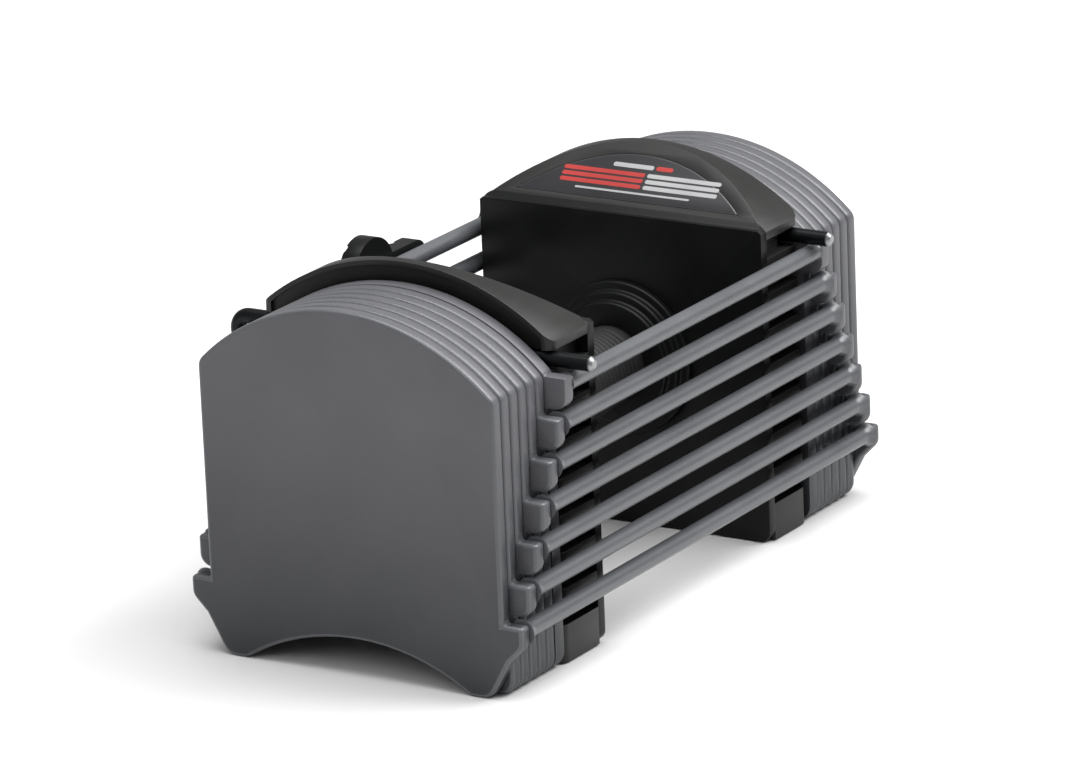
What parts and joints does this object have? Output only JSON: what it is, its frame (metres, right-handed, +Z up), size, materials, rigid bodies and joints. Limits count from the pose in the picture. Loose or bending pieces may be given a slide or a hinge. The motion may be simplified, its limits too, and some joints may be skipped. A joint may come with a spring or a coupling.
{
  "type": "adjustable dumbbell",
  "caption": "Block-shaped adjustable dumbbell: a ribbed handle core nested in grey steel weights joined by side rails, with a U-shaped selector pin.",
  "frame": {"origin": "on the floor under the middle of the dumbbell", "axes": "+X along the grip, +Y to the side where the selector pin's grip is, +Z up"},
  "size_m": [0.2516, 0.1496, 0.1386],
  "materials": {
    "powder_coated_plate": "satin textured powder coat",
    "powder_coated_rail": "satin powder coat",
    "black_block": "satin moulded nylon",
    "black_cover": "satin moulded plastic",
    "label_face": "gloss laminate with printed bars",
    "ballast_steel": "plain mill steel",
    "bare_steel": "plain drawn steel",
    "grip_rubber": "fine ribbed soft rubber",
    "blackened_rod": "satin black finish over steel, worn bright at the tips",
    "zinc_fastener": "bright zinc plated steel"
  },
  "bodies": {
    "weight_1": {"weight_1_plate_left": "powder_coated_plate", "weight_1_plate_right": "powder_coated_plate", "weight_1_rail_front": "powder_coated_rail", "weight_1_rail_back": "powder_coated_rail"},
    "weight_2": {"weight_2_plate_left": "powder_coated_plate", "weight_2_plate_right": "powder_coated_plate", "weight_2_rail_front": "powder_coated_rail", "weight_2_rail_back": "powder_coated_rail"},
    "weight_3": {"weight_3_plate_left": "powder_coated_plate", "weight_3_plate_right": "powder_coated_plate", "weight_3_rail_front": "powder_coated_rail", "weight_3_rail_back": "powder_coated_rail"},
    "weight_4": {"weight_4_plate_left": "powder_coated_plate", "weight_4_plate_right": "powder_coated_plate", "weight_4_rail_front": "powder_coated_rail", "weight_4_rail_back": "powder_coated_rail"},
    "weight_5": {"weight_5_plate_left": "powder_coated_plate", "weight_5_plate_right": "powder_coated_plate", "weight_5_rail_front": "powder_coated_rail", "weight_5_rail_back": "powder_coated_rail"},
    "weight_6": {"weight_6_plate_left": "powder_coated_plate", "weight_6_plate_right": "powder_coated_plate", "weight_6_rail_front": "powder_coated_rail", "weight_6_rail_back": "powder_coated_rail"},
    "weight_7": {"weight_7_plate_left": "powder_coated_plate", "weight_7_plate_right": "powder_coated_plate", "weight_7_rail_front": "powder_coated_rail", "weight_7_rail_back": "powder_coated_rail"},
    "handle": {"end_block_left": "black_block", "inner_cover_left": "black_cover", "label_plate_left": "label_face", "ballast_plate_left": "ballast_steel", "tube_plug_left": "bare_steel", "grip_collar_left": "black_cover", "end_bolt_left": "zinc_fastener", "bolt_washer_left": "zinc_fastener", "base_screws_left": "zinc_fastener", "end_block_right": "black_block", "inner_cover_right": "black_cover", "label_plate_right": "label_face", "ballast_plate_right": "ballast_steel", "tube_plug_right": "bare_steel", "grip_collar_right": "black_cover", "end_bolt_right": "zinc_fastener", "bolt_washer_right": "zinc_fastener", "base_screws_right": "zinc_fastener", "handle_tube": "bare_steel", "grip_sleeve": "grip_rubber"},
    "selector_pin": {"selector_pin_rod": "blackened_rod", "selector_pin_grip": "black_cover"}
  },
  "joints": [
    {"name": "lift_weight_6", "type": "slide", "parent": "weight_7", "child": "weight_6", "axis": [0, 0, 1], "range_m": [0, 0.15]},
    {"name": "lift_weight_5", "type": "slide", "parent": "weight_6", "child": "weight_5", "axis": [0, 0, 1], "range_m": [0, 0.15]},
    {"name": "lift_weight_4", "type": "slide", "parent": "weight_5", "child": "weight_4", "axis": [0, 0, 1], "range_m": [0, 0.15]},
    {"name": "lift_weight_3", "type": "slide", "parent": "weight_4", "child": "weight_3", "axis": [0, 0, 1], "range_m": [0, 0.15]},
    {"name": "lift_weight_2", "type": "slide", "parent": "weight_3", "child": "weight_2", "axis": [0, 0, 1], "range_m": [0, 0.15]},
    {"name": "lift_weight_1", "type": "slide", "parent": "weight_2", "child": "weight_1", "axis": [0, 0, 1], "range_m": [0, 0.15]},
    {"name": "lift_handle", "type": "slide", "parent": "weight_1", "child": "handle", "axis": [0, 0, 1], "range_m": [0, 0.15]},
    {"name": "selector_pin_slide", "type": "slide", "parent": "handle", "child": "selector_pin", "axis": [0, 1, 0], "range_m": [0, 0.16]}
  ]
}
